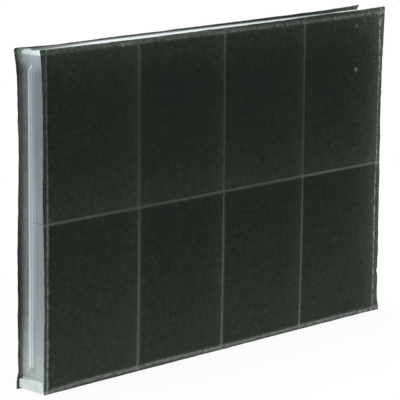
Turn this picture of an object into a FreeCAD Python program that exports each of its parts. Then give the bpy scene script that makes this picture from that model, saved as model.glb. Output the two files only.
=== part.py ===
"""Charcoal filter cassette of a cooker hood.

A moulded plastic grid frame holds loose charcoal in eight cells. A sheet of black fleece is welded over
each side. Millimetres. +X runs along the length, +Y goes from the front to the back and +Z is up.
The cassette stands on its long edge, and the origin is under the middle of its depth and length.
"""
import FreeCAD, Part
import math
import os

from FreeCAD import Vector

# Overall sizes
FRAME_LENGTH = 374.6        # the moulding at its parting line, end wall to end wall
FRAME_HEIGHT = 258.4        # the moulding at its parting line, bottom to top
FRAME_DEPTH = 25.6          # front edge to back edge, without the weld ridges
COLUMNS = 4                 # cells along the length
ROWS = 2                    # cells up the height

# Walls of the moulding, measured at its front and back edges
END_WALL = 3.4
LONG_WALL = 3.0             # along the bottom
TOP_WALL = 2.1
DIVIDER = 1.8
OUTER_DRAFT = 2.0           # degrees, from the parting line to either edge
CELL_DRAFT = 1.0            # degrees, of the cores that form the cells
CORNER_RADIUS = 1.6         # lower corners of the frame
CORNER_SLOPE = 2.65         # sloped upper corners of the frame, along and down
CELL_RADIUS = 2.0           # corners of each cell

# Weld ridges, pressed into the fleece
RIDGE_WIDTH = 0.9
RIDGE_HEIGHT = 0.4

# Guide rib along each end wall
RIB_THICKNESS = 1.9
RIB_REACH = 3.3             # from the wall at the parting line
RIB_BOTTOM_GAP = 11.5       # from the frame's bottom to the rib's root
RIB_TOP_GAP = 10.7          # from the rib's root to the frame's top
RIB_BOTTOM_SLOPE = 5.0      # how far its sloped ends run along the wall
RIB_TOP_SLOPE = 3.3
RIB_EDGE_RADIUS = 0.45

# Proud block at the foot of each end wall
FOOT_REACH = 3.3
FOOT_HEIGHT_FRONT = 8.4     # above the frame's bottom
FOOT_HEIGHT_BACK = 7.0
FOOT_EDGE_RADIUS = 0.8

# Sink line on the end wall, level with the middle divider
SINK_WIDTH = 1.4
SINK_DEPTH = 0.2

# Fleece sheets
FLEECE_THICKNESS = 1.8
SEAM_THICKNESS = 0.7        # where it is welded down
LIP_THICKNESS = 1.3         # the loose margin outside the border weld
SEAM_WIDTH = 1.7            # the flat bottom of a weld line
PAD_SHOULDER = 0.9          # width of the rounded shoulder where a pad drops to a weld line
PAD_STEPS = 2               # flats that make up the shoulder
PAD_CORNER = 2.2
FLEECE_BELOW = 1.35         # fleece past the frame's edge at the bottom
FLEECE_ABOVE = 2.25         # and at the top, before the rises given below

# Cut edges of the sheets, each as places along the edge, from 0 at its start to 1 at its end.
# Ends: how far the sheet reaches past the frame's edge, from the bottom up.
# Top: how far it rises past its plain height, from -X to +X.
FRONT_LEFT = [(0, 1.3), (0.1, 1), (0.25, 0.3), (0.4, 0.8), (0.56, 1.6), (0.73, 1.1), (0.9, 1.8), (1, 3.2)]
FRONT_RIGHT = [(0, 5.55), (0.06, 4.4), (0.24, 3.6), (0.42, 3.3), (0.6, 2.6), (0.73, 2.7), (0.84, 3.2),
               (0.92, 4.2), (1, 4.9)]
FRONT_TOP = [(0, 0.2), (0.34, 0.2), (0.55, 0.7), (0.71, 1.1), (0.87, 1.9), (1, 1.9)]
REAR_LEFT = [(0, 4.6), (0.07, 3.7), (0.25, 3.5), (0.42, 3.5), (0.56, 2.5), (0.68, 1.8), (0.82, 2.5),
             (0.92, 3.2), (1, 6.21)]
REAR_RIGHT = [(0, 2.9), (0.1, 1.6), (0.5, 1.1), (0.9, 1.1), (1, 2.8)]
REAR_TOP = [(0, -0.4), (0.13, -0.7), (0.34, -0.6), (0.5, -0.3), (0.74, 0), (0.87, 0.4), (1, 0.9)]

# Rounding of the sheets' corners: bottom left, bottom right, top left, top right
FRONT_ROUNDS = (0.5, 0.5, 1.0, 1.0)
REAR_ROUNDS = (0.8, 0.8, 3.0, 0.4)

# Places that follow from the sizes above
HALF_DEPTH = FRAME_DEPTH / 2
OUTER_RISE = HALF_DEPTH * math.tan(math.radians(OUTER_DRAFT))
CELL_RISE = HALF_DEPTH * math.tan(math.radians(CELL_DRAFT))
EDGE_LENGTH = FRAME_LENGTH - 2 * OUTER_RISE
EDGE_HEIGHT = FRAME_HEIGHT - 2 * OUTER_RISE
GRID_LENGTH = EDGE_LENGTH - END_WALL
GRID_HEIGHT = EDGE_HEIGHT - TOP_WALL
PITCH_X = GRID_LENGTH / COLUMNS
PITCH_Z = GRID_HEIGHT / ROWS
EDGE_BOTTOM = FLEECE_BELOW
EDGE_TOP = EDGE_BOTTOM + EDGE_HEIGHT
FRAME_BOTTOM = EDGE_BOTTOM - OUTER_RISE
FRAME_TOP = EDGE_TOP + OUTER_RISE
FLEECE_TOP = EDGE_TOP + FLEECE_ABOVE
COLUMN_LINES = [-GRID_LENGTH / 2 + i * PITCH_X for i in range(COLUMNS + 1)]
ROW_LINES = [EDGE_BOTTOM + LONG_WALL / 2 + i * PITCH_Z for i in range(ROWS + 1)]
MID_Z = ROW_LINES[1]

SAME = 1e-6                 # lengths nearer than this are equal
PAST = 1.05                 # how far a cutting tool runs past what it cuts, times its length


def rounded_rectangle(x0, x1, z0, z1, y, radius):
    """A closed wire in the plane of the given depth."""
    bottom_left = Vector(x0 + radius, y, z0 + radius)
    bottom_right = Vector(x1 - radius, y, z0 + radius)
    top_right = Vector(x1 - radius, y, z1 - radius)
    top_left = Vector(x0 + radius, y, z1 - radius)
    edges = []
    corners = (bottom_left, bottom_right, top_right, top_left)
    for i, centre in enumerate(corners):
        start = math.radians(180 + 90 * i)
        points = []
        for turn in (0, math.pi / 4, math.pi / 2):
            angle = start + turn
            points.append(centre + Vector(radius * math.cos(angle), 0, radius * math.sin(angle)))
        edges.append(Part.Arc(*points).toShape())
    joined = []
    for i, arc in enumerate(edges):
        following = edges[(i + 1) % len(edges)]
        joined.append(arc)
        joined.append(Part.makeLine(arc.Vertexes[-1].Point, following.Vertexes[0].Point))
    return Part.Wire(joined)


def block(x0, x1, z0, z1, y0, y1):
    """A block with sharp corners, from one depth to another."""
    return Part.makeBox(x1 - x0, abs(y1 - y0), z1 - z0, Vector(x0, min(y0, y1), z0))


def prism(x0, x1, z0, z1, y0, y1, radius):
    """A block with rounded corners, from one depth to another."""
    wire = rounded_rectangle(x0, x1, z0, z1, y0, radius)
    return Part.Face(wire).extrude(Vector(0, y1 - y0, 0))


def drafted_block(x0, x1, z0, z1, radius, rise):
    """A block as deep as the frame. Its sides move in by rise from the edges to the parting line, or out if
    rise is negative. The sizes given are those at the edges.
    """
    wedge = Part.makeWedge(x0, -HALF_DEPTH, z0, z0 + rise, x0 + rise, x1, 0, z1, z1 - rise, x1 - rise)
    corners = [e for e in wedge.Edges if abs(e.Vertexes[0].Y - e.Vertexes[1].Y) > HALF_DEPTH / 2]
    front = wedge.makeFillet(radius, corners)
    back = front.mirror(Vector(0, 0, 0), Vector(0, 1, 0))
    return front.fuse(back).removeSplitter()


def grid_fields(outer_x, outer_z, inner):
    """The fields between the weld lines, from the bottom row up: x0, x1, z0, z1.

    Each is drawn in from its lines, by the outer margins at the border and by inner elsewhere.
    """
    margins_x = [outer_x] + [inner] * (COLUMNS - 1) + [outer_x]
    margins_z = [outer_z] + [inner] * (ROWS - 1) + [outer_z]
    fields = []
    for row in range(ROWS):
        z0 = ROW_LINES[row] + margins_z[row]
        z1 = ROW_LINES[row + 1] - margins_z[row + 1]
        for column in range(COLUMNS):
            x0 = COLUMN_LINES[column] + margins_x[column]
            x1 = COLUMN_LINES[column + 1] - margins_x[column + 1]
            fields.append((x0, x1, z0, z1))
    return fields


def cell_fields():
    """The cells at the frame's edges."""
    return grid_fields(END_WALL / 2, LONG_WALL / 2, DIVIDER / 2)


def weld_ridges(side):
    """The ridges along every wall and divider. side is -1 for the front and +1 for the back."""
    half = RIDGE_WIDTH / 2
    y0 = side * HALF_DEPTH
    y1 = side * (HALF_DEPTH + RIDGE_HEIGHT)
    lattice = block(COLUMN_LINES[0] - half, COLUMN_LINES[-1] + half,
                    ROW_LINES[0] - half, ROW_LINES[-1] + half, y0, y1)
    for field in grid_fields(half, half, half):
        lattice = lattice.cut(block(*field, y0, y1))
    return lattice


def edge_spans(edge, axis):
    """True where a straight edge runs along the given axis (0 for X, 1 for Y and 2 for Z)."""
    if len(edge.Vertexes) != 2:
        return False
    run = edge.Vertexes[1].Point - edge.Vertexes[0].Point
    return abs(abs(run[axis]) - run.Length) < SAME


def guide_rib():
    """The rib of the -X end, with sloped ends for sliding in."""
    root = -FRAME_LENGTH / 2 + END_WALL / 2
    wall = -FRAME_LENGTH / 2
    tip = wall - RIB_REACH
    low = FRAME_BOTTOM + RIB_BOTTOM_GAP
    high = FRAME_TOP - RIB_TOP_GAP
    outline = [(root, low), (wall, low), (tip, low + RIB_BOTTOM_SLOPE),
               (tip, high - RIB_TOP_SLOPE), (wall, high), (root, high)]
    points = [Vector(x, -RIB_THICKNESS / 2, z) for x, z in outline]
    face = Part.Face(Part.makePolygon(points + points[:1]))
    rib = face.extrude(Vector(0, RIB_THICKNESS, 0))
    long_edges = [e for e in rib.Edges if edge_spans(e, 2) and abs(e.Vertexes[0].X - tip) < SAME]
    return rib.makeFillet(RIB_EDGE_RADIUS, long_edges)


def foot_block():
    """The proud block at the foot of the -X end. Its top slopes down to the back."""
    wall = -FRAME_LENGTH / 2
    tip = wall - FOOT_REACH
    root = wall + END_WALL / 2
    base = FRAME_BOTTOM + OUTER_RISE
    outline = [(-HALF_DEPTH, base), (HALF_DEPTH, base),
               (HALF_DEPTH, FRAME_BOTTOM + FOOT_HEIGHT_BACK), (-HALF_DEPTH, FRAME_BOTTOM + FOOT_HEIGHT_FRONT)]
    points = [Vector(root, y, z) for y, z in outline]
    face = Part.Face(Part.makePolygon(points + points[:1]))
    foot = face.extrude(Vector(tip - root, 0, 0))
    outer_edges = [e for e in foot.Edges if all(abs(v.X - tip) < SAME for v in e.Vertexes)]
    return foot.makeFillet(FOOT_EDGE_RADIUS, outer_edges)


def sink_line():
    """A shallow hollow across the -X end wall, level with the middle divider."""
    radius = (SINK_WIDTH ** 2 / 4 + SINK_DEPTH ** 2) / (2 * SINK_DEPTH)
    parting = Vector(-FRAME_LENGTH / 2, 0, MID_Z)
    start = parting - Vector(radius - SINK_DEPTH, 0, 0)
    halves = []
    for side in (-1, 1):
        run = Vector(-EDGE_LENGTH / 2, side * HALF_DEPTH, MID_Z) - parting
        halves.append(Part.makeCylinder(radius, run.Length * PAST, start, run))
    return halves[0].fuse(halves[1])


def upper_corner():
    """What the slope takes off the upper -X corner of the frame, across its whole depth."""
    past = CORNER_SLOPE
    depth = HALF_DEPTH + 2 * RIDGE_HEIGHT
    low = Vector(-EDGE_LENGTH / 2 - past, -depth, EDGE_TOP - CORNER_SLOPE - past)
    high = Vector(-EDGE_LENGTH / 2 + CORNER_SLOPE + past, -depth, EDGE_TOP + past)
    outside = Vector(low.x, -depth, high.z)
    return Part.Face(Part.makePolygon([low, high, outside, low])).extrude(Vector(0, 2 * depth, 0))


def mirrored_x(shape):
    return shape.mirror(Vector(0, 0, 0), Vector(1, 0, 0))


def make_frame():
    half_x = EDGE_LENGTH / 2
    frame = drafted_block(-half_x, half_x, EDGE_BOTTOM, EDGE_TOP, CORNER_RADIUS, -OUTER_RISE)
    for field in cell_fields():
        frame = frame.cut(drafted_block(*field, CELL_RADIUS, CELL_RISE))
    hollow = sink_line()
    frame = frame.cut(hollow).cut(mirrored_x(hollow))
    for made in (guide_rib(), foot_block()):
        frame = frame.fuse(made).fuse(mirrored_x(made))
    for side in (-1, 1):
        frame = frame.fuse(weld_ridges(side))
    corner = upper_corner()
    return frame.cut(corner).cut(mirrored_x(corner)).removeSplitter()


def curve_through(points):
    curve = Part.BSplineCurve()
    curve.interpolate(points)
    return curve.toShape()


def end_points(reaches, outwards, rise):
    """Points up one end of a sheet. Its upper corner lies at the given rise."""
    height = FLEECE_TOP + rise
    return [Vector(outwards * (EDGE_LENGTH / 2 + reach), 0, place * height) for place, reach in reaches]


def sheet_outline(left, right, top):
    """The cut edge of a sheet, as a face at zero depth. Its bottom edge is straight."""
    left_points = end_points(left, -1, top[0][1])
    right_points = end_points(right, 1, top[-1][1])
    start = left_points[-1]
    end = right_points[-1]
    length = end.x - start.x
    top_points = [Vector(start.x + place * length, 0, FLEECE_TOP + rise) for place, rise in top]
    edges = [Part.makeLine(left_points[0], right_points[0]), curve_through(right_points),
             curve_through(top_points), curve_through(left_points)]
    return Part.Face(Part.Wire(Part.__sortEdges__(edges)))


def rounded_corners(sheet, rounds):
    """The sheet with its four corners rounded: bottom left, bottom right, top left, top right."""
    for number, radius in enumerate(rounds):
        upper = number >= 2
        outwards = 1 if number % 2 else -1
        corner = max((e for e in sheet.Edges if edge_spans(e, 1) and (e.Vertexes[0].Z > MID_Z) == upper),
                     key=lambda e: outwards * e.Vertexes[0].X)
        sheet = sheet.makeFillet(radius, [corner])
    return sheet


def fleece_pad(field, side):
    """The thick field of a sheet over one cell, with rounded shoulders down to the weld lines."""
    x0, x1, z0, z1 = field
    seam_y = side * (HALF_DEPTH + SEAM_THICKNESS)
    rise = side * (FLEECE_THICKNESS - SEAM_THICKNESS)
    wires = []
    for step in range(PAD_STEPS + 1):
        turn = math.pi / 2 * step / PAD_STEPS
        inset = PAD_SHOULDER * (1 - math.cos(turn))
        wires.append(rounded_rectangle(x0 + inset, x1 - inset, z0 + inset, z1 - inset,
                                       seam_y + rise * math.sin(turn), PAD_CORNER - inset))
    return Part.makeLoft(wires, True, True)


def make_fleece(side, edges, rounds, frame):
    """A sheet of fleece, pressed thin along the weld lines and thick over each cell."""
    inner = side * HALF_DEPTH
    outline = sheet_outline(*edges)
    outline.translate(Vector(0, inner, 0))
    sheet = rounded_corners(outline.extrude(Vector(0, side * LIP_THICKNESS, 0)), rounds)

    half = SEAM_WIDTH / 2
    seam_y = inner + side * SEAM_THICKNESS
    lip_y = inner + side * LIP_THICKNESS
    sheet = sheet.cut(prism(COLUMN_LINES[0] - half, COLUMN_LINES[-1] + half,
                            ROW_LINES[0] - half, ROW_LINES[-1] + half, seam_y, lip_y, PAD_CORNER))
    for field in grid_fields(half, half, half):
        sheet = sheet.fuse(fleece_pad(field, side))
    return sheet.cut(frame).removeSplitter()


def make_charcoal_beds():
    """The granules that fill each cell, from the bottom row up."""
    return [drafted_block(*field, CELL_RADIUS, CELL_RISE) for field in cell_fields()]


frame = make_frame()
parts = {
    "frame": frame,
    "front_fleece": make_fleece(-1, (FRONT_LEFT, FRONT_RIGHT, FRONT_TOP), FRONT_ROUNDS, frame),
    "rear_fleece": make_fleece(1, (REAR_LEFT, REAR_RIGHT, REAR_TOP), REAR_ROUNDS, frame),
}
for number, bed in enumerate(make_charcoal_beds(), start=1):
    parts["charcoal_bed_%d" % number] = bed

os.makedirs("parts", exist_ok=True)
for node, shape in parts.items():
    shape.exportStep("parts/%s.step" % node)
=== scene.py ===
"""Charcoal filter cassette of a cooker hood, finished: its milky plastic grid, the two welded sheets of black
fleece, the charcoal inside, and the light and camera of the picture.

Metres. +X runs along the length, +Y goes from the front sheet to the rear one and +Z is up.
"""
import math

import bpy
import numpy as np
from mathutils import Matrix, Vector, noise


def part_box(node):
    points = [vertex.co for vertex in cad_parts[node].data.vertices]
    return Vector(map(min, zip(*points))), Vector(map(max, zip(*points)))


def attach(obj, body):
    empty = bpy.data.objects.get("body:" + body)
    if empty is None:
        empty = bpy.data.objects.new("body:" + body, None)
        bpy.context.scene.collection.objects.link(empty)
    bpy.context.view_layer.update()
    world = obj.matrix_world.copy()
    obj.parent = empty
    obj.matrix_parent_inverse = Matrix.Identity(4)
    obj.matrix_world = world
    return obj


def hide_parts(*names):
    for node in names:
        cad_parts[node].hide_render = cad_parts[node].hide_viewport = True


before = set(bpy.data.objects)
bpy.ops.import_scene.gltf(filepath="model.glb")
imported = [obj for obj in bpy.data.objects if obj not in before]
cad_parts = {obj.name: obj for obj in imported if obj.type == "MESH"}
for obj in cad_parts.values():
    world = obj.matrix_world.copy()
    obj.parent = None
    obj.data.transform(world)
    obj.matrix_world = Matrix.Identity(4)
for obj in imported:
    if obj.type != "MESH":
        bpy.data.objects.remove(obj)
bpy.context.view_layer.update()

MM = 0.001

# Walls of the moulding under the fleece, and the fleece itself
END_WALL = 3.4 * MM
LONG_WALL = 3.0 * MM
PAD_THICK = 1.5 * MM          # beside a weld line
PAD_SWELL = 0.85 * MM         # how much thicker the middle of a pad is
SWELL_REACH = 11.0 * MM       # how far from a weld line most of that is reached
WELD_THICK = 0.7 * MM
MARGIN_THICK = 1.3 * MM
WELD_WIDTH = 1.7 * MM
SHOULDER = 0.9 * MM
PAD_CORNER = 2.2 * MM
CUT_ROUND = 0.45 * MM         # rounding of the cut edge
SHEET_HEIGHT = 261.1 * MM
END_MARGIN = 2.5 * MM         # how far a sheet reaches past the frame's ends, before they are drawn uneven
MARGIN_RISE = 0.7 * MM        # over which a margin rises from its weld
FREE_FROM = 0.9 * MM          # past the weld, where a margin comes free of the frame
FREE_OVER = 2.5 * MM
FREE_LIFT = 0.15 * MM         # how far a free margin stands off

# Mesh behind the cut edge: how far back it goes, and how far inside the last ring each new ring lies
EDGE_BACK = MARGIN_THICK - 1.6 * CUT_ROUND
EDGE_STEP = 0.1 * MM
RINGS = (0.2 * MM, 1.6 * MM, 1.5 * MM)
INNER_RING = sum(RINGS)
HALF_LENGTH = 0.19
HALF_HEIGHT = 0.13
RING_TUCK = 1.2 * MM          # how far behind the frame's -X end the last ring is moved there

# How far the weld grid is drawn off true, with where along X each starts and over what length it grows
BOW = 1.0 * MM                # the uprights, towards +X
END_LEAN = 0.6 * MM           # the +X border line, outwards at its top
LEAN_FROM, LEAN_OVER = 140 * MM, 40 * MM
LEAN_HINGE = 0.45             # the part of the height at which it doesn't lean
TOP_RISE = 0.9 * MM           # the grid, up at its top +X corner
RISE_FROM, RISE_OVER = -20 * MM, 130 * MM
LOW_DROP = 0.8 * MM           # the grid, down at its bottom +X corner
DROP_FROM, DROP_OVER = 50 * MM, 120 * MM
TOP_DIP = 0.8 * MM            # the top weld line, down in its +X half, and up again
DIP_FROM, DIP_OVER = 15 * MM, 50 * MM
DIP_TO, DIP_BACK = 176 * MM, 30 * MM
TOP_HOLD, BOTTOM_HOLD = 9, 12     # how fast it fades below the top line, and the waves above the bottom one

# Waves of the cut edges
END_WAVE, END_WAVE_PITCH = 0.35 * MM, 6.5 * MM
LONG_WAVE, LONG_WAVE_PITCH = 0.2 * MM, 12 * MM
LONG_WAVE_SHIFT = 0.6         # so that the long edges wave outwards for the most part
WAVE_FADE = 8 * MM            # over which the waves fade towards a corner
NICK_WIDTH = 1.6 * MM

# Uneven relief: how high and over what pitch in millimetres, and its own seed. The lumps on the pads have as
# a fourth number how far from a weld line they are full.
RELIEFS = dict(weld_width=(0.12, 14, 11), weld=(0.03, 2.5, 13), margin=(0.16, 3.5, 17), lift=(0.25, 16, 23))
PAD_LUMPS = ((0.10, 26, 2, 10), (0.05, 5.5, 5, 2), (0.03, 2.6, 8, 2))

# The two sheets, with edges as places from 0 at their start to 1 at their end, with millimetres.
# left and right, from the bottom up: how far the sheet reaches past the frame's -X and +X ends
# rounds: radius of the bottom and the top corner at each end; nicks: place up the end, and depth
# top, from -X to +X: how far it rises past its plain height
# margin and inner, from the bottom up: how pale its -X margin is outside, and how much painted light lies on
# its face beside the -X wall
# lint: pale bits on it, with their place along and up in millimetres and how pale they are
SHEETS = {
    "front_fleece": dict(
        side=-1, seed=3.0,
        rounds=dict(left=(0.5, 1.0), right=(0.5, 1.0)), nicks=dict(left=(), right=((0.137, 1.1),)),
        left=((0, 1.3), (0.1, 1.0), (0.25, 0.3), (0.4, 0.8), (0.56, 1.6), (0.73, 1.1), (0.9, 1.85),
              (0.94, 2.35), (0.97, 2.8), (0.985, 3.4), (1, 4.4)),
        right=((0, 6.5), (0.02, 5.9), (0.036, 4.5), (0.06, 4.2), (0.24, 3.6), (0.42, 3.3), (0.6, 2.6),
               (0.73, 2.7), (0.84, 3.2), (0.92, 4.2), (1, 4.9)),
        top=((0, 0.2), (0.35, 0.25), (0.45, 0.6), (0.55, 0.75), (0.71, 1.2), (0.83, 1.95), (0.9, 2.0),
             (0.945, 2.1), (1, 2.5)),
        margin=((0, 4.2), (0.3, 3), (0.42, 2.2), (1, 2.0)), inner=((0, 5), (1, 5)),
        lint=((154.4, 213.0, 32), (154.8, 249.9, 9), (164.7, 252.7, 7), (-108.8, 257.7, 14),
              (180.7, 98.4, 5))),
    "rear_fleece": dict(
        side=1, seed=41.0,
        rounds=dict(left=(0.8, 3.0), right=(0.8, 0.4)), nicks=dict(left=(), right=()),
        left=((0, 5.6), (0.027, 5.0), (0.039, 4.4), (0.051, 3.4), (0.062, 3.3), (0.076, 3.5), (0.09, 3.75),
              (0.11, 3.7), (0.13, 3.5), (0.15, 3.65), (0.25, 3.5), (0.42, 3.5), (0.56, 2.5), (0.68, 1.8),
              (0.82, 2.5), (0.92, 3.2), (1, 6.1)),
        right=((0, 2.9), (0.1, 1.6), (0.5, 1.1), (0.9, 0.8), (0.97, -0.2), (0.988, -0.4), (0.995, 0.3),
               (1, 3)),
        top=((0, -0.85), (0.05, -1.4), (0.1, -1.65), (0.16, -1.55), (0.22, -1.15), (0.34, -1.0), (0.5, -0.6),
             (0.74, -0.2), (0.87, 0.3), (0.94, 0.85), (1, 1.5)),
        margin=((0, 5), (0.1, 3.6), (0.25, 2.2), (0.37, 2.4), (0.56, 3.8), (0.68, 7), (0.77, 6.5),
                (0.86, 3.6), (0.93, 1.8), (1, 1.6)),
        inner=((0, 20), (0.05, 27), (0.11, 27), (0.25, 14), (0.37, 16), (0.56, 15), (0.77, 18), (0.866, 17),
               (0.919, 17), (0.93, 20), (0.942, 25), (0.954, 36), (0.972, 40), (0.984, 26), (0.994, 20),
               (1, 14)),
        lint=((-61.0, 84.0, 6), (117.5, 201.0, 5))),
}

# How pale the fleece is, in percent of the light that it gives back, as places with values, painted light
# included. The places run up from 0 at the bottom border to 1 at the top one, or along from the -X end to the
# +X end. The tones of the pads run up each cell of the lower row, and of the upper one: painted light makes
# each cell paler at its foot, and the upper one also at its top.
LOWER_PAD_TONES_WITH_PAINTED_LIGHT = ((0, 2.3), (0.25, 1.8), (0.5, 1.42), (0.75, 1.15), (1, 1.0))
UPPER_PAD_TONES_WITH_PAINTED_LIGHT = ((0, 1.6), (0.2, 1.2), (0.45, 1.0), (0.8, 1.0), (1, 1.5))
INNER_TONES = ((0, 12), (0.15, 8.1), (0.3, 6.7), (0.4, 5.6), (0.48, 3.8), (0.55, 3.4), (0.75, 2.7),
               (0.9, 3.1), (1, 4.8))
LEFT_TONES = ((0, 18), (0.15, 12), (0.3, 9.5), (0.38, 7.8), (0.46, 9.8), (0.55, 7), (0.7, 4.2), (0.9, 3.8),
              (1, 4.6))
RIGHT_TONES = ((0, 12.5), (0.1, 14), (0.22, 18.5), (0.38, 22), (0.5, 14.5), (0.6, 11.5), (0.8, 8.6),
               (0.9, 13), (1, 14.5))
BOTTOM_TONES = ((0, 14), (0.3, 14), (0.45, 15), (0.6, 13.5), (0.7, 15), (1, 15))
MIDDLE_TONES = ((0, 6.0), (0.12, 4.9), (0.5, 4.5), (0.75, 5.2), (0.85, 6.6), (0.92, 6.2), (1, 8.7))
TOP_TONES = ((0, 4.2), (0.15, 4.8), (0.2, 7.6), (0.28, 4.8), (0.46, 6.5), (0.7, 6.5), (0.88, 7.0), (1, 9.5))
MARGIN_TONES = dict(right=((0, 4.6), (0.5, 4.4), (1, 4.4)), bottom=((0, 4.5), (1, 4.5)),
                    top=((0, 4.6), (0.5, 4.2), (0.62, 2.4), (0.9, 2.4), (1, 4)))
# The weld lines of the grid: tones, reach in millimetres and how uneven they are. Over the paleness of the
# pressed welds, a painted reflection of the floor makes the -X and inner uprights paler low down and the
# bottom line palest
UPRIGHT_WELDS = ((LEFT_TONES, 1.6, 1.0), (INNER_TONES, 1.65, 0.15), (INNER_TONES, 1.65, 0.15),
                 (INNER_TONES, 1.65, 0.15), (RIGHT_TONES, 1.4, 1.4))
LEVEL_WELDS = ((BOTTOM_TONES, 2.3, 0.6), (MIDDLE_TONES, 1.8, 0.2), (TOP_TONES, 2.0, 0.9))
# How far the pale lines lie from the true grid, in millimetres: the first four uprights, the last one going
# up, and the bottom line going along
UPRIGHTS_ASIDE = (0.0, 0.5, 0.35, 0.2)
RIGHT_WANDER = ((0, 0.6), (0.06, 0.5), (0.16, -0.2), (0.27, -0.6), (0.38, -1.2), (0.46, -1.0), (0.53, 0),
                (0.58, -0.3), (0.7, -0.2), (0.81, 0.9), (0.9, 0.5), (1, 1))
LOW_WANDER = ((0, -0.9), (0.07, 0.3), (0.14, 0.8), (0.22, 0.5), (0.34, 0.9), (0.45, 0.1), (0.7, 0),
              (0.85, 0.7), (0.92, 0.7), (1, 0))
# Painted light on the pads: how much paler they are beside each upright, beside the +X border going up, and
# at the -X end
UPRIGHT_PAINTED_LIGHT, UPRIGHT_PAINTED_LIGHT_REACH = 0.5, 7 * MM
RIGHT_PAINTED_LIGHT = ((0, 0.4), (0.12, 0.5), (0.25, 1.3), (0.4, 1.7), (0.5, 1.5), (0.7, 1.4), (0.85, 1.5), (1, 1.4))
RIGHT_PAINTED_LIGHT_REACH = 17 * MM
LEFT_PAINTED_LIGHT, LEFT_PAINTED_LIGHT_FROM, LEFT_PAINTED_LIGHT_OVER = 0.12, -70 * MM, 40 * MM
# Unevenness of the pale lines, coarse and fine: over what pitch, with its own seed
BEAD_PITCH, BEAD_SEED = 3.2 * MM, 31
MOTTLE_PITCH, MOTTLE_SEED = 1.8 * MM, 37
# Share of the places that carry a pale speck: anywhere, by the weld lines, high up by the +X border, on the
# margins and in the top +X corner of the sheet
SPECKED = dict(anywhere=0.03, welds=0.13, border=0.3, margins=0.5, corner=0.4)
SPECKED_REACH = dict(welds=5 * MM, border=14 * MM, corner=12 * MM)
SPECKED_CORNER = (163 * MM, 250 * MM)
LINT_SIZE = 0.9 * MM

# Spacing of the mesh on the sheets. The steps over a margin are parts of its width.
PAD_STEP_X = 1.15 * MM
PAD_STEP_Z = 1.6 * MM
WELD_STEPS = 10
MARGIN_STEPS = (0.16, 0.32, 0.48, 0.62, 0.75, 0.86, 0.94, 1.0)

# Colour of the end walls towards the front sheet, from the foot at 0 to the top at 1: grey from the charcoal
# behind, with painted light that pales it near the foot and the top. Then how much of it is left towards the
# rear sheet, under painted shade
WALL_TONES_WITH_PAINTED_LIGHT = (
    (0.07, (0.478, 0.545, 0.535)), (0.10, (0.435, 0.495, 0.50)), (0.12, (0.388, 0.46, 0.47)),
    (0.18, (0.327, 0.395, 0.405)), (0.25, (0.278, 0.335, 0.35)), (0.36, (0.244, 0.30, 0.315)),
    (0.46, (0.244, 0.304, 0.315)), (0.55, (0.254, 0.314, 0.33)), (0.63, (0.222, 0.279, 0.289)),
    (0.74, (0.19, 0.24, 0.252)), (0.93, (0.19, 0.242, 0.256)), (0.955, (0.318, 0.402, 0.424)),
    (0.98, (0.39, 0.46, 0.475)))
REAR_WALL_PAINTED_SHADE = (
    (0.08, 1.0), (0.14, 0.97), (0.25, 0.74), (0.36, 0.69), (0.48, 0.73), (0.56, 0.51), (0.68, 0.445),
    (0.77, 0.49), (0.86, 0.645), (0.93, 0.70), (0.965, 1.0))
# Places on the moulding for its finish: across the end walls, out from the middle, and up
WALL_EDGE = 12.8 * MM         # where an end wall's face ends at both sheets
END_FACE = 185.6 * MM         # where the end walls' faces begin
RIB_ROOT = 187.5 * MM         # where the guide ribs begin
RIB_LOW = 21 * MM             # above it a guide rib has its full reach
FOOT_TOP = 8.9 * MM           # top of the proud blocks at the foot
ROOF_FROM = SHEET_HEIGHT - 4.9 * MM
GRANULES = 430.0              # granules of charcoal to the metre

# Floor and light: each lamp's place, size and power
FLOOR_SIZE = 40.0
FLOOR_SHADE = 0.82
AROUND_STRENGTH = 0.55
LAMPS = (("front_lamp", (1.0, -1.5, 1.1), 1.2, 22.0), ("top_lamp", (-0.3, 0.2, 1.7), 1.4, 22.0))

# Camera, as the picture was taken
CAMERA_PLACE = Vector((-1.24967, -1.24490, 0.49003))
CAMERA_RIGHT = Vector((0.710602, -0.703525, 0.009909))
CAMERA_UP = Vector((0.137039, 0.152204, 0.978802))
FOCAL_PIXELS = 2249.2
PICTURE_PIXELS = 400.0
SENSOR = 36.0


# Weld lines of the grid

def weld_lines():
    """The upright and level weld lines, from the boxes of the charcoal beds between them."""
    beds = [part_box("charcoal_bed_%d" % number) for number in range(1, 9)]
    bottom_row = beds[:4]
    uprights = [bottom_row[0][0].x - END_WALL / 2]
    for left, right in zip(bottom_row, bottom_row[1:]):
        uprights.append((left[1].x + right[0].x) / 2)
    uprights.append(bottom_row[-1][1].x + END_WALL / 2)
    levels = [beds[0][0].z - LONG_WALL / 2, (beds[0][1].z + beds[4][0].z) / 2, beds[4][1].z + LONG_WALL / 2]
    return uprights, levels


UPRIGHTS, LEVELS = weld_lines()
INNER_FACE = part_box("charcoal_bed_1")[1].y      # the frame's edge, where a sheet lies on it
FRAME_END = UPRIGHTS[-1] + END_WALL / 2
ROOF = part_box("frame")[1].z


# Shape of the sheets

def smooth(t):
    """From 0 to 1 as t does, level at both ends."""
    t = np.clip(t, 0.0, 1.0)
    return t * t * (3.0 - 2.0 * t)


def ripple(along, pitch, seed):
    """Smooth uneven waves between -1 and 1 along one direction."""
    return np.array([noise.noise(Vector((a / pitch, seed, 0.37 * seed))) for a in along])


def lumps(x, z, pitch, seed):
    """Smooth uneven relief between -1 and 1 over the sheet."""
    flat = [noise.noise(Vector((a / pitch, seed, b / pitch))) for a, b in zip(x.ravel(), z.ravel())]
    return np.array(flat).reshape(x.shape)


def relief(x, z, kind, seed):
    """One of the uneven reliefs, in metres."""
    high, pitch, own_seed = RELIEFS[kind]
    return high * MM * lumps(x, z, pitch * MM, seed + own_seed)


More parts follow.
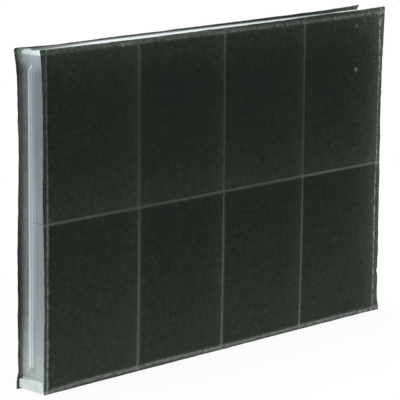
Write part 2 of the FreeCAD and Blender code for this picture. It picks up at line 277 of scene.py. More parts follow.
def inner_stations(lines, step):
    """Places between the outer borders of the border welds, close together across every weld line."""
    band = WELD_WIDTH / 2 + SHOULDER
    places = []
    for number, line in enumerate(lines):
        low = line - (WELD_WIDTH / 2 if number == 0 else band)
        high = line + (WELD_WIDTH / 2 if number == len(lines) - 1 else band)
        places += list(np.linspace(low, high, WELD_STEPS + 1))
        if number < len(lines) - 1:
            following = lines[number + 1] - band
            count = int(math.ceil((following - high) / step))
            places += list(np.linspace(high, following, count + 1))[1:-1]
    return np.array(places)


def curve_through(points, at):
    """A smooth curve through places with values, level beyond its ends."""
    place, value = np.array(points, float).T
    slope = np.gradient(value, place)
    at = np.clip(at, 0.0, 1.0)
    k = np.clip(np.searchsorted(place, at, side="right") - 1, 0, len(place) - 2)
    gap = place[k + 1] - place[k]
    t = (at - place[k]) / gap
    return (value[k] * (1 + 2 * t) * (1 - t) ** 2 + slope[k] * gap * t * (1 - t) ** 2
            + value[k + 1] * t ** 2 * (3 - 2 * t) - slope[k + 1] * gap * t ** 2 * (1 - t))


def drawn(x, z):
    """How far the weld grid is drawn off true at a place, along and up."""
    height = np.clip((z - LEVELS[0]) / (LEVELS[-1] - LEVELS[0]), 0.0, 1.0)
    along = BOW * 4 * height * (1 - height)
    along = along + END_LEAN * smooth((x - LEAN_FROM) / LEAN_OVER) * (height - LEAN_HINGE)
    up = TOP_RISE * smooth((x - RISE_FROM) / RISE_OVER) * height ** 2
    up = up - LOW_DROP * smooth((x - DROP_FROM) / DROP_OVER) * (1 - height) ** 2
    length = (x - UPRIGHTS[0]) / (UPRIGHTS[-1] - UPRIGHTS[0])
    up = up + MM * curve_through(LOW_WANDER, length) * (1 - height) ** BOTTOM_HOLD
    dip = smooth((x - DIP_FROM) / DIP_OVER) * smooth((DIP_TO - x) / DIP_BACK)
    up = up - TOP_DIP * dip * height ** TOP_HOLD
    return along, up


def end_edge(z, end, sheet):
    """Where the cut edge of one end lies at each height."""
    outwards = -1 if end == "left" else 1
    wavy = END_WAVE * ripple(z, END_WAVE_PITCH, sheet["seed"] + outwards) * smooth(z / WAVE_FADE)
    for place, depth in sheet["nicks"][end]:
        wavy = wavy - depth * MM * np.exp(-((z - place * SHEET_HEIGHT) / NICK_WIDTH) ** 2)
    wavy = wavy * smooth((SHEET_HEIGHT - z) / WAVE_FADE)
    reach = FRAME_END + MM * curve_through(sheet[end], z / SHEET_HEIGHT) + wavy
    for corner, inside in zip(sheet["rounds"][end], (z, SHEET_HEIGHT - z)):
        radius = corner * MM
        cut = np.clip(radius - inside, 0.0, radius)
        reach = reach - (radius - np.sqrt(np.maximum(radius ** 2 - cut ** 2, 0.0)))
    return outwards * reach


def long_edge(x, level, sheet):
    """Where the cut edge along the top or bottom lies at each length."""
    inside = smooth((FRAME_END - abs(x)) / WAVE_FADE)
    wavy = LONG_WAVE * (ripple(x, LONG_WAVE_PITCH, sheet["seed"] + 7 + level) - LONG_WAVE_SHIFT) * inside
    if level == 0:
        return -wavy
    return SHEET_HEIGHT + MM * curve_through(sheet["top"], 0.5 + x / (2 * FRAME_END)) + wavy


def distance_to(lines, places):
    """How far each place lies from the nearest of the lines."""
    return np.min(np.abs(places[..., None] - np.array(lines)), axis=-1)


def past_border(x, z):
    """How far a place lies outside the border weld lines."""
    return np.maximum(abs(x) - UPRIGHTS[-1], np.maximum(LEVELS[0] - z, z - LEVELS[-1]))


def sheet_relief(x, z, edge_distance, sheet):
    """Height of the outer face over the frame's edge."""
    seed = sheet["seed"]
    half = WELD_WIDTH / 2
    width_wave = relief(x, z, "weld_width", seed)
    across = distance_to(UPRIGHTS, x) - half - width_wave
    along = distance_to(LEVELS, z) - half - width_wave
    corner_x = PAD_CORNER - across
    corner_z = PAD_CORNER - along
    cornered = PAD_CORNER - np.hypot(np.maximum(corner_x, 0), np.maximum(corner_z, 0))
    inside = np.where((corner_x > 0) | (corner_z > 0), cornered, np.minimum(across, along))
    outside = past_border(x, z) - half

    shoulder = np.sin(math.pi / 2 * np.clip(inside / SHOULDER, 0.0, 1.0))
    swell_across, swell_along = (1 - np.exp(-np.maximum(away, 0) / SWELL_REACH) for away in (across, along))
    pad = PAD_THICK + PAD_SWELL * (swell_across * swell_along)
    for high, pitch, own_seed, reach in PAD_LUMPS:
        pad = pad + high * MM * lumps(x, z, pitch * MM, seed + own_seed) * smooth(inside / (reach * MM))
    weld = WELD_THICK + relief(x, z, "weld", seed)
    margin = MARGIN_THICK + relief(x, z, "margin", seed)

    height = np.where(inside > 0, weld + (pad - weld) * shoulder, weld)
    height = np.where(outside > 0, weld + (margin - weld) * smooth(outside / MARGIN_RISE), height)
    near = np.clip(CUT_ROUND - edge_distance, 0.0, CUT_ROUND)
    height = height - (CUT_ROUND - np.sqrt(CUT_ROUND ** 2 - near ** 2))

    free = smooth((outside - FREE_FROM) / FREE_OVER)
    return height + np.maximum(free * (relief(x, z, "lift", seed) + FREE_LIFT), 0.0)


def pressed_line(distance, reach):
    """1 along the middle of a weld line, falling softly to 0 at the foot of the pads."""
    return smooth((reach - distance) / (reach - 0.3 * MM))


def pad_tone_with_painted_light(x, z, height):
    """How pale the pads are, in percent, with painted light: each cell runs up from its foot, and is paler
    beside some lines.
    """
    lower_cell = (z - LEVELS[0]) / (LEVELS[1] - LEVELS[0])
    upper_cell = (z - LEVELS[1]) / (LEVELS[2] - LEVELS[1])
    tone_with_painted_light = np.where(z > LEVELS[1], curve_through(UPPER_PAD_TONES_WITH_PAINTED_LIGHT, upper_cell),
                    curve_through(LOWER_PAD_TONES_WITH_PAINTED_LIGHT, lower_cell))
    following = np.array(UPRIGHTS)[np.clip(np.searchsorted(UPRIGHTS, x), 1, len(UPRIGHTS) - 1)]
    to_next = np.maximum(following - x, 0.0)
    to_border = np.maximum(UPRIGHTS[-1] - x, 0.0)
    tone_with_painted_light = tone_with_painted_light * (1 + UPRIGHT_PAINTED_LIGHT * np.exp(-to_next / UPRIGHT_PAINTED_LIGHT_REACH))
    tone_with_painted_light = tone_with_painted_light * (1 + curve_through(RIGHT_PAINTED_LIGHT, height) * np.exp(-to_border / RIGHT_PAINTED_LIGHT_REACH))
    return tone_with_painted_light * (1 + LEFT_PAINTED_LIGHT * smooth((LEFT_PAINTED_LIGHT_FROM - x) / LEFT_PAINTED_LIGHT_OVER))


def speck_share(x, z, height, past):
    """The share of the places that carry a pale speck."""
    left, top = SPECKED_CORNER
    to_weld = np.minimum(distance_to(UPRIGHTS, x), distance_to(LEVELS, z))
    to_border = np.maximum(UPRIGHTS[-1] - x, 0.0)
    high_up = smooth((height - 0.3) / 0.4)
    share = SPECKED["anywhere"] + SPECKED["welds"] * np.exp(-to_weld / SPECKED_REACH["welds"])
    share = share + SPECKED["border"] * np.exp(-to_border / SPECKED_REACH["border"]) * high_up
    share = share + SPECKED["margins"] * past * ((x > UPRIGHTS[-1]) | (z > LEVELS[-1]))
    share = share + SPECKED["corner"] * smooth(1 - np.hypot(x - left, z - top) / SPECKED_REACH["corner"])
    return np.clip(share, 0.0, 1.0)


def fleece_marks(x, z, sheet):
    """How pale the fleece is, with its painted light, how hard it is pressed and how many pale specks lie on
    it, each from 0 to 1.
    """
    seed = sheet["seed"]
    height = (z - LEVELS[0]) / (LEVELS[-1] - LEVELS[0])
    length = (x - UPRIGHTS[0]) / (UPRIGHTS[-1] - UPRIGHTS[0])
    beads = lumps(x, z, BEAD_PITCH, seed + BEAD_SEED)
    mottle = lumps(x, z, MOTTLE_PITCH, seed + MOTTLE_SEED)
    tone_with_painted_light = pad_tone_with_painted_light(x, z, height)

    margins = ((x < UPRIGHTS[0], sheet["margin"], height), (x > UPRIGHTS[-1], MARGIN_TONES["right"], height),
               (z < LEVELS[0], MARGIN_TONES["bottom"], length), (z > LEVELS[-1], MARGIN_TONES["top"], length))
    loose = np.select([here for here, tones, way in margins],
                      [curve_through(tones, way) for here, tones, way in margins])
    past = smooth((past_border(x, z) - 0.1 * MM) / (0.9 * MM))
    tone_with_painted_light = tone_with_painted_light + (loose * (1 + 0.5 * mottle) - tone_with_painted_light) * past

    # Each weld line: how far from it a place lies, with its tones there, its reach and its unevenness
    asides = (*UPRIGHTS_ASIDE, curve_through(RIGHT_WANDER, height))
    lines = [(abs(x - line - aside * MM), curve_through(tones, height), reach, uneven)
             for line, aside, (tones, reach, uneven) in zip(UPRIGHTS, asides, UPRIGHT_WELDS)]
    lines += [(abs(z - line), curve_through(tones, length), reach, uneven)
              for line, (tones, reach, uneven) in zip(LEVELS, LEVEL_WELDS)]
    pressed = np.zeros_like(tone_with_painted_light)
    for distance, weld, reach, uneven in lines:
        here = pressed_line(distance, reach * MM)
        weld = weld * (1 + uneven * beads) * (1 + 0.4 * uneven * mottle)
        tone_with_painted_light = np.maximum(tone_with_painted_light, tone_with_painted_light + (weld - tone_with_painted_light) * here)
        pressed = np.maximum(pressed, here)
    for along, up, pale in sheet["lint"]:
        tone_with_painted_light = tone_with_painted_light + pale * np.exp(-(np.hypot(x - along * MM, z - up * MM) / LINT_SIZE) ** 2)
    return tone_with_painted_light / 100, np.maximum(pressed, 0.6 * past), speck_share(x, z, height, past)


def fleece_sheet(node):
    """A sheet pressed thin along the weld grid, swollen over each cell and wavy along its cut edges."""
    sheet = SHEETS[node]
    side = sheet["side"]
    x_inner = inner_stations(UPRIGHTS, PAD_STEP_X)
    z_inner = inner_stations(LEVELS, PAD_STEP_Z)
    steps = np.array(MARGIN_STEPS)
    margin = len(steps)
    columns = len(x_inner) + 2 * margin
    rows = len(z_inner) + 2 * margin

    bpy.ops.object.select_all(action="DESELECT")
    bpy.ops.mesh.primitive_grid_add(x_subdivisions=columns - 1, y_subdivisions=rows - 1, size=1.0)
    piece = bpy.context.object
    piece.name = piece.data.name = node + "_sheet"
    flat = np.empty(len(piece.data.vertices) * 3)
    piece.data.vertices.foreach_get("co", flat)
    flat = flat.reshape(-1, 3)
    i = np.rint((flat[:, 0] + 0.5) * (columns - 1)).astype(int)
    j = np.rint((flat[:, 1] + 0.5) * (rows - 1)).astype(int)

    # A true grid first. Its margins are drawn out to the cut edges, then all of it is drawn off true.
    end = FRAME_END + END_MARGIN
    x_line = np.concatenate([x_inner[0] - (end + x_inner[0]) * steps[::-1], x_inner,
                             x_inner[-1] + (end - x_inner[-1]) * steps])
    z_line = np.concatenate([z_inner[0] * (1 - steps[::-1]), z_inner,
                             z_inner[-1] + (SHEET_HEIGHT - z_inner[-1]) * steps])
    left = end_edge(z_line, "left", sheet) - drawn(-FRAME_END, z_line)[0]
    right = end_edge(z_line, "right", sheet) - drawn(FRAME_END, z_line)[0]
    bottom = long_edge(x_line, 0, sheet) - drawn(x_line, 0.0)[1]
    top = long_edge(x_line, 2, sheet) - drawn(x_line, SHEET_HEIGHT)[1]
    x_grid = np.repeat(x_line[None, :], rows, axis=0)
    z_grid = np.repeat(z_line[:, None], columns, axis=1)
    for k, step in enumerate(steps):
        x_grid[:, margin - 1 - k] = x_inner[0] + (left - x_inner[0]) * step
        x_grid[:, columns - margin + k] = x_inner[-1] + (right - x_inner[-1]) * step
        z_grid[margin - 1 - k, :] = z_inner[0] + (bottom - z_inner[0]) * step
        z_grid[rows - margin + k, :] = z_inner[-1] + (top - z_inner[-1]) * step
    to_ends = np.minimum(x_grid - left[:, None], right[:, None] - x_grid)
    to_longs = np.minimum(z_grid - bottom[None, :], top[None, :] - z_grid)
    height = sheet_relief(x_grid, z_grid, np.minimum(to_ends, to_longs), sheet)
    marks = dict(zip(("tone_with_painted_light", "welded", "specked"), fleece_marks(x_grid, z_grid, sheet)))
    along, up = drawn(x_grid, z_grid)
    x_grid, z_grid = x_grid + along, z_grid + up

    place = np.stack([x_grid[j, i], side * (INNER_FACE + height[j, i]), z_grid[j, i]], axis=1)
    piece.data.vertices.foreach_set("co", place.ravel())
    for name, values in marks.items():
        holder = piece.data.attributes.new(name, "FLOAT", "POINT")
        holder.data.foreach_set("value", values[j, i])
    piece.data.update()
    close_sheet(piece, side)
    light_beside_wall(piece, sheet)
    piece.data.shade_smooth()
    return piece


def light_beside_wall(piece, sheet):
    """The inner face beside the -X wall is palest at the wall, which throws light on it."""
    for vertex, tone_with_painted_light in zip(piece.data.vertices, piece.data.attributes["tone_with_painted_light"].data):
        x, y, z = vertex.co
        if abs(abs(y) - INNER_FACE) < 0.001 * MM and x < UPRIGHTS[0] + 3 * MM:
            on_last_ring = x - end_edge(np.array([z]), "left", sheet)[0] > INNER_RING - 0.6 * MM
            if on_last_ring:
                vertex.co.x = x = -FRAME_END + RING_TUCK
            away = smooth((-FRAME_END - x - 0.2 * MM) / (2.6 * MM))
            tone_with_painted_light.value = curve_through(sheet["inner"], z / SHEET_HEIGHT) / 100 * (1 - 0.8 * away)


def select_only(thing):
    bpy.ops.object.select_all(action="DESELECT")
    thing.select_set(True)
    bpy.context.view_layer.objects.active = thing


def close_sheet(piece, side):
    """The cut edge and the flat inner face, extruded ring by ring and filled behind the outer face."""
    middle = (0.0, side * INNER_FACE, SHEET_HEIGHT / 2)
    select_only(piece)
    bpy.ops.object.mode_set(mode="EDIT")
    bpy.ops.mesh.select_mode(type="EDGE")
    bpy.ops.mesh.select_all(action="DESELECT")
    bpy.ops.mesh.select_non_manifold()
    bpy.ops.mesh.extrude_edges_move(TRANSFORM_OT_translate={"value": (0.0, -side * EDGE_BACK, 0.0)})
    # The first ring rounds the edge, the second one is flattened onto the frame and the last one is filled
    for ring, back, depth in zip(RINGS, (EDGE_STEP, 0.0, 0.0), (1.0, 0.0, 1.0)):
        bpy.ops.mesh.extrude_edges_move(TRANSFORM_OT_translate={"value": (0.0, -side * back, 0.0)})
        bpy.ops.transform.resize(value=(1 - ring / HALF_LENGTH, depth, 1 - ring / HALF_HEIGHT),
                                 center_override=middle)
    bpy.ops.mesh.edge_face_add()
    bpy.ops.mesh.select_all(action="SELECT")
    bpy.ops.mesh.normals_make_consistent(inside=False)
    bpy.ops.object.mode_set(mode="OBJECT")


# Materials

class Finish:
    """A material and the few node steps that the finishes share."""

    def __init__(self, name):
        self.material = bpy.data.materials.new(name)
        self.material.use_nodes = True
        self.nodes = self.material.node_tree.nodes
        self.links = self.material.node_tree.links
        self.shader = self.nodes["Principled BSDF"]
        self.place = self.nodes.new("ShaderNodeTexCoord").outputs["Object"]

    def link(self, value, socket):
        if isinstance(value, bpy.types.NodeSocket):
            self.links.new(value, socket)
        else:
            socket.default_value = value

    def scaled(self, scale):
        """Places with each axis multiplied by its own number."""
        node = self.nodes.new("ShaderNodeMapping")
        node.inputs["Scale"].default_value = scale
        self.links.new(self.place, node.inputs["Vector"])
        return node.outputs["Vector"]

    def clouds(self, scale, detail=2.0, roughness=0.6):
        """Soft noise with so many features to the metre, or to the metre along each axis."""
        stretched = isinstance(scale, tuple)
        node = self.nodes.new("ShaderNodeTexNoise")
        node.inputs["Scale"].default_value = 1.0 if stretched else scale
        node.inputs["Detail"].default_value = detail
        node.inputs["Roughness"].default_value = roughness
        self.links.new(self.scaled(scale) if stretched else self.place, node.inputs["Vector"])
        return node.outputs["Fac"]

    def cells(self, scale):
        node = self.nodes.new("ShaderNodeTexVoronoi")
        node.inputs["Scale"].default_value = scale
        self.links.new(self.place, node.inputs["Vector"])
        return node.outputs["Distance"]

    def math(self, operation, first, second=0.0):
        node = self.nodes.new("ShaderNodeMath")
        node.operation = operation
        self.link(first, node.inputs[0])
        self.link(second, node.inputs[1])
        return node.outputs[0]

    def product(self, first, *others):
        """All the values multiplied."""
        for other in others:
            first = self.math("MULTIPLY", first, other)
        return first

    def total(self, first, *others):
        """All the values added up."""
        for other in others:
            first = self.math("ADD", first, other)
        return first

    def spread(self, value, from_low, from_high, to_low=0.0, to_high=1.0, soft=True):
        """From to_low to to_high while the value goes from from_low to from_high, and level beyond them."""
        node = self.nodes.new("ShaderNodeMapRange")
        node.interpolation_type = "SMOOTHSTEP" if soft else "LINEAR"
        self.link(value, node.inputs["Value"])
        self.link(from_low, node.inputs["From Min"])
        self.link(from_high, node.inputs["From Max"])
        self.link(to_low, node.inputs["To Min"])
        self.link(to_high, node.inputs["To Max"])
        return node.outputs["Result"]

    def between(self, amount, low, high):
        """From low to high, evenly, while the amount goes from 0 to 1."""
        return self.spread(amount, 0.0, 1.0, low, high, soft=False)

    def blend(self, amount, first, second, kind="MIX"):
        node = self.nodes.new("ShaderNodeMix")
        node.data_type = "RGBA"
        node.blend_type = kind
        self.link(amount, node.inputs["Factor"])
        self.link(first, node.inputs[6])
        self.link(second, node.inputs[7])
        return node.outputs[2]

    def dimmed(self, shade, factor):
        """A colour times a value."""
        return self.blend(1.0, shade, factor, kind="MULTIPLY")

    def tones(self, value, stops):
        """Colours at places from 0 to 1, blended between."""
        node = self.nodes.new("ShaderNodeValToRGB")
        ramp = node.color_ramp
        while len(ramp.elements) < len(stops):
            ramp.elements.new(0.5)
        for element, (place, shade) in zip(ramp.elements, stops):
            element.position = place
            element.color = (*shade, 1.0)
        self.link(value, node.inputs[0])
        return node.outputs["Color"]

    def specks(self, scale, size, share):
        """Small round specks over the sheet, in as many of the places as share says."""
        x, _, z = self.axes()
        over_sheet = self.nodes.new("ShaderNodeCombineXYZ")
        self.links.new(x, over_sheet.inputs[0])
        self.links.new(z, over_sheet.inputs[1])
        node = self.nodes.new("ShaderNodeTexVoronoi")
        node.voronoi_dimensions = "2D"
        node.inputs["Scale"].default_value = scale
        self.links.new(over_sheet.outputs[0], node.inputs["Vector"])
        lot = self.nodes.new("ShaderNodeSeparateXYZ")
        self.links.new(node.outputs["Color"], lot.inputs[0])
        chosen = self.math("LESS_THAN", lot.outputs[0], share)
        dot = self.spread(node.outputs["Distance"], size, 0.5 * size)
        return self.product(dot, chosen, lot.outputs[1])

    def attribute(self, name):
        node = self.nodes.new("ShaderNodeAttribute")
        node.attribute_name = name
        return node.outputs["Fac"]

    def axes(self):
        node = self.nodes.new("ShaderNodeSeparateXYZ")
        self.links.new(self.place, node.inputs[0])
        return node.outputs

    def bump(self, height, distance, strength):
        node = self.nodes.new("ShaderNodeBump")
        node.inputs["Strength"].default_value = strength
        node.inputs["Distance"].default_value = distance
        self.links.new(height, node.inputs["Height"])
        return node.outputs["Normal"]

    def finished(self, shade, roughness, normal):
        """Links what varies over the surface to the shader, and gives the material."""
        self.links.new(shade, self.shader.inputs["Base Color"])
        self.links.new(roughness, self.shader.inputs["Roughness"])
        self.links.new(normal, self.shader.inputs["Normal"])
        return self.material


def colour(red, green, blue):
    return (red, green, blue, 1.0)


def black_fleece():
    """Black needled fleece: matt and finely grained on the pads, pressed smooth and paler along the welds,
    with the painted light and reflection that its tone carries.
    """
    finish = Finish("black_fleece")
    tone_with_painted_light = finish.attribute("tone_with_painted_light")
    welded = finish.attribute("welded")
    specked = finish.attribute("specked")

    # The grain: tufts, patches of them, and marks of the needles drawn up and along the sheet
    tufts = finish.clouds(620.0)
    patches = finish.clouds(190.0, 3.0)
    streaks = finish.clouds((330.0, 330.0, 40.0))
    threads = finish.clouds((50.0, 50.0, 420.0))
    grain = finish.total(finish.product(tufts, 0.9), finish.product(patches, 0.9),
                         finish.product(streaks, 0.3), finish.product(threads, 0.3))
    on_pads = finish.spread(grain, 0.8, 1.6, 0.58, 1.42, soft=False)
    on_welds = finish.spread(tufts, 0.3, 0.7, 0.92, 1.08, soft=False)
    grain = finish.between(welded, on_pads, on_welds)

    # Where the sheet is specked its grain is coarser and small pale specks lie on it
    flecks = finish.spread(finish.clouds(900.0, 1.0), 0.35, 0.65, -0.7, 0.9)
    grain = finish.total(grain, finish.product(flecks, specked))
    specks = finish.product(finish.specks(620.0, 0.26, specked),
                            finish.spread(specked, 0.1, 0.45, 0.05, 0.12))
    lit = finish.total(finish.product(tone_with_painted_light, grain), specks)

    # Black fibres give back a little green, dust and pressed fibres less of it
    tint = finish.blend(finish.spread(lit, 0.03, 0.075), colour(0.95, 1.25, 0.93), colour(0.975, 1.06, 0.955))
    fuzz = finish.total(tufts, finish.product(streaks, 0.3), finish.product(finish.cells(420.0), 0.3))
    fuzz = finish.product(fuzz, finish.between(welded, 1.0, 0.25))
    finish.shader.inputs["Specular IOR Level"].default_value = 0.09
    return finish.finished(finish.dimmed(tint, lit), finish.between(welded, 0.95, 0.6),
                           finish.bump(fuzz, 0.35 * MM, 0.6))


def end_wall(finish, y, z, height):
    """The end walls, greyed by the charcoal behind them: painted light makes them pale at the foot, and
    painted shade makes them dark at the rear sheet.
    """
    front = finish.tones(height, WALL_TONES_WITH_PAINTED_LIGHT)
    # Painted shade: towards the rear sheet the wall's colour is dimmed
    rear = finish.tones(height, [(up, (0.98 * part, part, 0.97 * part)) for up, part in REAR_WALL_PAINTED_SHADE])
    towards_front = finish.spread(y, 5 * MM, 1 * MM)
    depth = finish.between(towards_front, rear, 1.0)

    # Painted shade in the corner with the rear sheet: darkest there, less so at the top and near the foot
    open_corner = finish.math("MAXIMUM", finish.spread(z, 245 * MM, 256 * MM),
                              finish.spread(z, 60 * MM, 25 * MM, 0.0, 0.75))
    darkest_painted_shade = finish.between(open_corner, 0.64, 0.9)
    rear_corner_painted_shade = finish.spread(y, WALL_EDGE, 6.5 * MM, darkest_painted_shade, 0.9, soft=False)
    dust = finish.spread(finish.clouds(170.0), 0.35, 0.65, 0.88, 1.12)
    rear_corner_painted_shade = finish.between(towards_front, finish.product(rear_corner_painted_shade, dust), 1.0)
    # Painted shade towards the front sheet as well
    front_corner_painted_shade = finish.spread(y, -8 * MM, -WALL_EDGE, 1.0, 0.9)

    # The pale rib throws light on the wall at both sides of it
    along_rib = finish.product(finish.spread(z, 16 * MM, 120 * MM, 0.05, 1.0),
                               finish.spread(z, 250 * MM, 244 * MM))
    before_rib = finish.product(finish.spread(y, -5 * MM, -1.5 * MM), finish.spread(y, 1 * MM, 0.0))
    before_rib = finish.between(finish.product(before_rib, along_rib), 1.0, 1.8)
    behind_rib = finish.product(
        finish.spread(y, 5.7 * MM, 5.0 * MM), finish.spread(z, 75 * MM, 35 * MM),
        finish.spread(z, 18 * MM, RIB_LOW), finish.spread(y, 0.0, 0.5 * MM), 0.6)

    drawn_lines = finish.spread(finish.clouds((30.0, 900.0, 9.0)), 0.3, 0.7, 0.94, 1.06, soft=False)
    # Painted shade darkens the sink line at mid height
    to_sink_line = finish.math("ABSOLUTE", finish.math("SUBTRACT", z, LEVELS[1]))
    shade = finish.product(depth, rear_corner_painted_shade, front_corner_painted_shade, finish.total(before_rib, behind_rib),
                           drawn_lines, finish.spread(to_sink_line, 0.2 * MM, 0.9 * MM, 0.72, 1.0))
    return finish.dimmed(front, shade)


def guide_rib(finish, reach, y, z, height):
    """The ribs, pale with painted light: palest at the root and low down, as if light came through the solid
    rib, with painted shade on their low slope and rear edge.
    """
    rib = finish.blend(height, colour(0.61, 0.68, 0.68), colour(0.50, 0.565, 0.585))
    # Painted light towards the root
    rib = finish.dimmed(rib, finish.spread(reach, 187.4 * MM, 189.8 * MM, 1.55, 1.1))
    # Painted light low down, and painted shade on the low slope
    low_rib_painted_light = finish.spread(z, 30 * MM, 50 * MM, 1.08, 0.93)
    rib = finish.dimmed(rib, finish.spread(z, 17 * MM, RIB_LOW, 0.68, low_rib_painted_light))
    # Painted shade along the rear edge at mid height
    rib_rear_painted_shade = finish.spread(z, 60 * MM, 100 * MM, 1.0, 0.2)
    return finish.dimmed(rib, finish.spread(y, 1.0 * MM, -0.3 * MM, rib_rear_painted_shade, 1.0))


def foot_and_faces(finish, grainy, y, z):
    """The foot blocks and the faces that the other parts don't show: pale, with a painted highlight along the
    edge at the rear sheet, and scuffed towards the rear sheet.
    """
    pale = finish.blend(finish.spread(grainy, 0.3, 0.7), colour(0.66, 0.735, 0.70), colour(0.82, 0.90, 0.86))
    # Painted highlight along the edge at the rear sheet
    pale = finish.blend(finish.spread(y, 10.5 * MM, 12 * MM), pale, colour(0.88, 0.95, 0.92))
    scuffs = finish.product(finish.spread(finish.clouds(700.0), 0.46, 0.6), finish.spread(y, 2 * MM, 8 * MM),
                            finish.spread(z, 5 * MM, 7 * MM), 0.3)
    return finish.blend(scuffs, pale, colour(0.30, 0.36, 0.34))


def roof_shade(finish, x, y, z):
    """Painted light and shade on the roof: dark in the shade of the rear sheet and at its -X end, bright at
    its +X end and along the front.
    """
    nearer = finish.total(y, finish.spread(x, -180 * MM, -100 * MM, 8 * MM, 0.0))
    darkest_painted_shade = finish.spread(x, -110 * MM, -20 * MM, 0.17, 0.3)
    under_rear = finish.spread(nearer, 11 * MM, 3.5 * MM, darkest_painted_shade, 1.0)
    under_rear = finish.product(under_rear, finish.spread(x, -186 * MM, -120 * MM, 0.5, 1.0))
    slant = finish.total(y, finish.spread(x, -187 * MM, -181 * MM, 0.0, 3 * MM, soft=False))
    on_edge = finish.spread(z, ROOF - 0.1 * MM, ROOF - 0.4 * MM)
    left_end = finish.product(finish.spread(x, -177 * MM, -184 * MM), finish.math(
        "MAXIMUM", finish.spread(slant, 3.2 * MM, -1.5 * MM, 0.15, 1.0), on_edge))
    right_end = finish.spread(x, 140 * MM, 168 * MM, 0.0, 1.3)
    shade = finish.math("MAXIMUM", under_rear, finish.math("MAXIMUM", left_end, right_end))
    # Painted highlight along the front of the roof
    front = finish.spread(y, 4 * MM, -9 * MM, 1.0, finish.spread(x, -170 * MM, -150 * MM, 1.3, 1.1))
    return finish.product(shade, front)


def milky_plastic():
    """Milky plastic, a little see-through: charcoal greys the walls, while rib, foot and top stay pale;
    painted light and shade lie over the walls, the ribs, the foot's edge and the roof.
    """
    finish = Finish("milky_plastic")
    x, y, z = finish.axes()
    reach = finish.math("ABSOLUTE", x)
    height = finish.spread(z, 0.0, SHEET_HEIGHT, soft=False)
    cloudy = finish.clouds(55.0, 3.0, 0.55)
    grainy = finish.clouds(260.0)

    on_rib = finish.spread(reach, RIB_ROOT, RIB_ROOT + 0.3 * MM)
    on_end = finish.spread(reach, END_FACE, END_FACE + 0.6 * MM)
    on_foot = finish.spread(z, FOOT_TOP + 0.7 * MM, FOOT_TOP)
    on_roof = finish.spread(z, ROOF_FROM, ROOF_FROM + 0.8 * MM)

    side = finish.blend(on_rib, end_wall(finish, y, z, height), guide_rib(finish, reach, y, z, height))
    body = finish.blend(finish.product(on_end, finish.math("SUBTRACT", 1.0, on_foot)),
                        foot_and_faces(finish, grainy, y, z), side)
    roof_light = roof_shade(finish, x, y, z)
    roof = finish.dimmed(colour(0.52, 0.585, 0.585),
                         finish.product(roof_light, finish.spread(cloudy, 0.3, 0.7, 0.94, 1.06)))
    # The roof's sheen is cut where its painted shade lies
    sheen = finish.between(on_roof, 0.4, finish.product(roof_light, 0.4))
    finish.link(sheen, finish.shader.inputs["Specular IOR Level"])
    return finish.finished(finish.blend(on_roof, body, roof), finish.spread(grainy, 0.2, 0.8, 0.36, 0.5),
                           finish.bump(finish.clouds(1400.0, 2.0, 0.5), 0.03 * MM, 0.5))


def charcoal_granules():
    """Packed black granules with sharp little faces and grey dust between them."""
    finish = Finish("charcoal_granules")
    grains = finish.cells(GRANULES)
    shade = finish.clouds(GRANULES)
    body = finish.blend(finish.spread(shade, 0.3, 0.7), colour(0.010, 0.010, 0.011),
                        colour(0.035, 0.035, 0.037))
    dusty = finish.blend(finish.spread(grains, 0.35, 0.75), body, colour(0.055, 0.055, 0.056))
    return finish.finished(dusty, finish.spread(shade, 0.2, 0.8, 0.45, 0.85),
                           finish.bump(finish.math("SUBTRACT", 1.0, grains), 1.2 * MM, 0.9))


def give(piece, material):
    """The one material of a piece, on every slot that it has."""
    if not piece.data.materials:
        piece.data.materials.append(material)
    for holder in piece.material_slots:
        holder.material = material


# Floor, light and camera

def pale_floor():
    """A wide pale floor that shows white behind the cassette and keeps its soft shadow."""
    bpy.ops.object.select_all(action="DESELECT")
    bpy.ops.mesh.primitive_plane_add(size=FLOOR_SIZE, location=(0.0, 0.0, 0.0))
    floor = bpy.context.object
    floor.name = "floor"
    finish = Finish("pale_floor")
    finish.shader.inputs["Base Color"].default_value = colour(FLOOR_SHADE, FLOOR_SHADE, FLOOR_SHADE)
    finish.shader.inputs["Roughness"].default_value = 0.9
    finish.shader.inputs["Specular IOR Level"].default_value = 0.1
    glow = finish.nodes.new("ShaderNodeEmission")
    glow.inputs["Strength"].default_value = 1.0
    seen = finish.nodes.new("ShaderNodeMixShader")
    rays = finish.nodes.new("ShaderNodeLightPath")
    background = finish.math("MAXIMUM", rays.outputs["Is Camera Ray"], rays.outputs["Is Glossy Ray"])
    background = finish.math("MAXIMUM", background, rays.outputs["Is Transmission Ray"])
    # A little of the shadow is kept close to the cassette
    away = finish.nodes.new("ShaderNodeVectorMath")
    away.operation = "LENGTH"
    finish.links.new(finish.place, away.inputs[0])
    white = finish.spread(away.outputs["Value"], 0.2, 0.7, 0.9, 1.0)
    finish.links.new(finish.product(background, white), seen.inputs[0])
    finish.links.new(finish.shader.outputs[0], seen.inputs[1])
    finish.links.new(glow.outputs[0], seen.inputs[2])
    finish.links.new(seen.outputs[0], finish.nodes["Material Output"].inputs["Surface"])
    give(floor, finish.material)


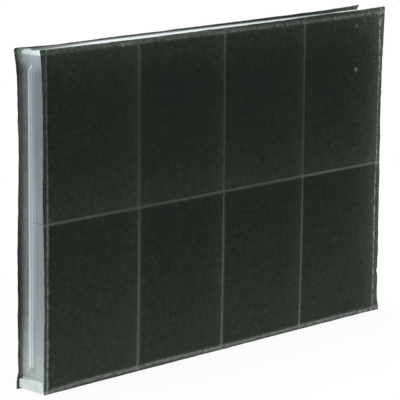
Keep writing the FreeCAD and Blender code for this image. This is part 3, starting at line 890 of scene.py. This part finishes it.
def studio_light():
    """Even light from all round, with a large soft lamp over the front and another overhead."""
    world = bpy.data.worlds.new("studio")
    bpy.context.scene.world = world
    world.use_nodes = True
    nodes = world.node_tree.nodes
    links = world.node_tree.links
    around = nodes["Background"]
    around.inputs["Color"].default_value = colour(1.0, 1.0, 1.0)
    around.inputs["Strength"].default_value = AROUND_STRENGTH
    white = nodes.new("ShaderNodeBackground")
    white.inputs["Color"].default_value = colour(1.0, 1.0, 1.0)
    white.inputs["Strength"].default_value = 1.0
    rays = nodes.new("ShaderNodeLightPath")
    seen = rays.outputs["Is Camera Ray"]
    for kind in ("Is Glossy Ray", "Is Transmission Ray"):
        either = nodes.new("ShaderNodeMath")
        either.operation = "MAXIMUM"
        links.new(seen, either.inputs[0])
        links.new(rays.outputs[kind], either.inputs[1])
        seen = either.outputs[0]
    mixed = nodes.new("ShaderNodeMixShader")
    links.new(seen, mixed.inputs[0])
    links.new(around.outputs[0], mixed.inputs[1])
    links.new(white.outputs[0], mixed.inputs[2])
    links.new(mixed.outputs[0], nodes["World Output"].inputs["Surface"])

    middle = Vector((0.0, 0.0, SHEET_HEIGHT / 2))
    for name, place, size, power in LAMPS:
        lamp = bpy.data.lights.new(name, "AREA")
        lamp.size = size
        lamp.energy = power
        holder = bpy.data.objects.new(name, lamp)
        holder.location = place
        holder.rotation_euler = (middle - Vector(place)).to_track_quat("-Z", "Y").to_euler()
        bpy.context.scene.collection.objects.link(holder)


def picture_camera():
    """The camera that was fitted to the picture."""
    lens = bpy.data.cameras.new("camera")
    lens.sensor_width = SENSOR
    lens.lens = FOCAL_PIXELS * SENSOR / PICTURE_PIXELS
    lens.clip_start = 0.05
    lens.clip_end = 100.0
    holder = bpy.data.objects.new("camera", lens)
    forward = CAMERA_UP.cross(CAMERA_RIGHT)
    turn = Matrix((CAMERA_RIGHT, CAMERA_UP, -forward)).transposed()
    holder.matrix_world = Matrix.Translation(CAMERA_PLACE) @ turn.to_4x4()
    bpy.context.scene.collection.objects.link(holder)
    bpy.context.scene.camera = holder


picture_camera()
pale_floor()
studio_light()

plastic = milky_plastic()
fleece = black_fleece()
charcoal = charcoal_granules()

give(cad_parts["frame"], plastic)
for number in range(1, 9):
    give(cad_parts["charcoal_bed_%d" % number], charcoal)
for node in SHEETS:
    made = fleece_sheet(node)
    give(made, fleece)
    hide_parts(node)
    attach(made, "root")

bpy.context.scene.view_settings.view_transform = "Standard"
